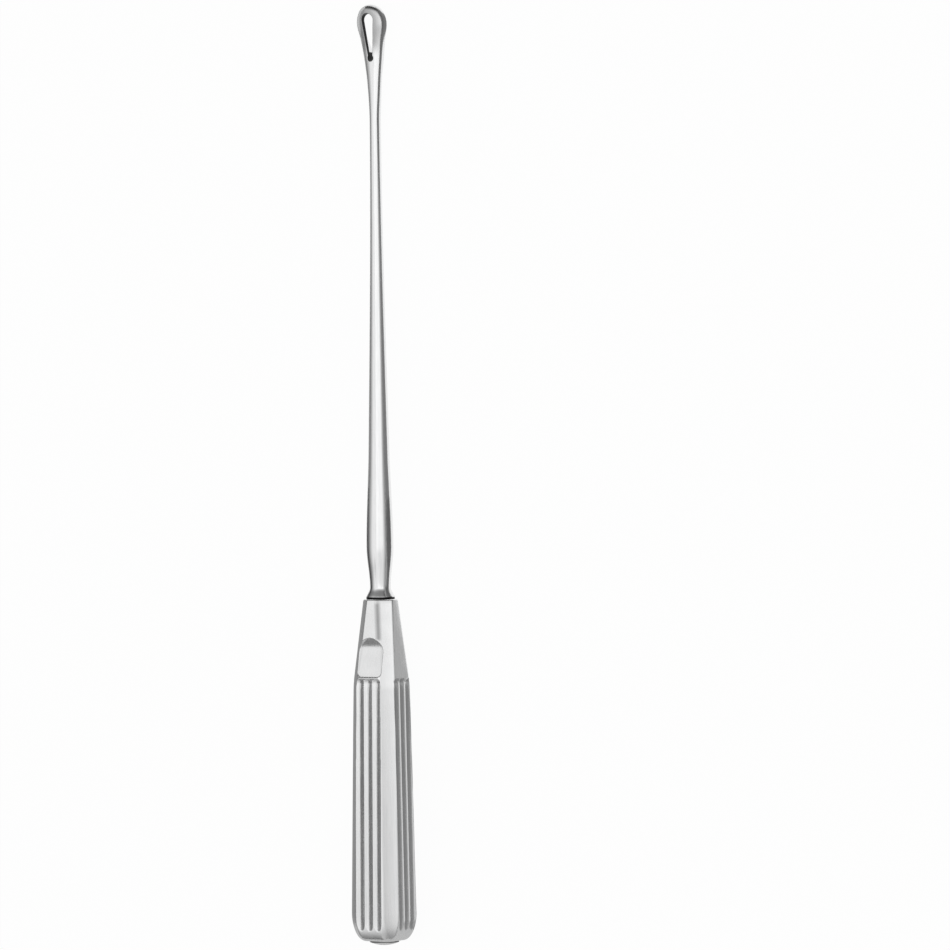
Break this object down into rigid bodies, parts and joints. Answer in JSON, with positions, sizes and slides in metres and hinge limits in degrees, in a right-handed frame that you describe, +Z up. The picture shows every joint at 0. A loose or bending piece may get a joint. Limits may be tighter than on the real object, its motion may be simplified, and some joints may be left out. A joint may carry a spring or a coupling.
{
  "type": "uterine curette",
  "caption": "Rigid surgical curette: a slim steel shaft with a small spoon-shaped open loop for scraping, and a hollow square handle with fluted faces and a thumb rest.",
  "frame": {"origin": "middle of the base of the bounding box, with the instrument lying on its back as it comes to rest", "axes": "+X along the instrument towards the loop, +Z up, out of the thumb rest's face, Y across"},
  "size_m": [0.2602, 0.0158, 0.0169],
  "materials": {
    "shaft_steel": "polished stainless steel with a fine lengthwise grain",
    "handle_steel": "satin stainless steel",
    "plug_steel": "turned and polished stainless steel"
  },
  "bodies": {
    "root": {"loop_shaft": "shaft_steel", "handle": "handle_steel", "end_plug": "plug_steel"}
  },
  "joints": []
}
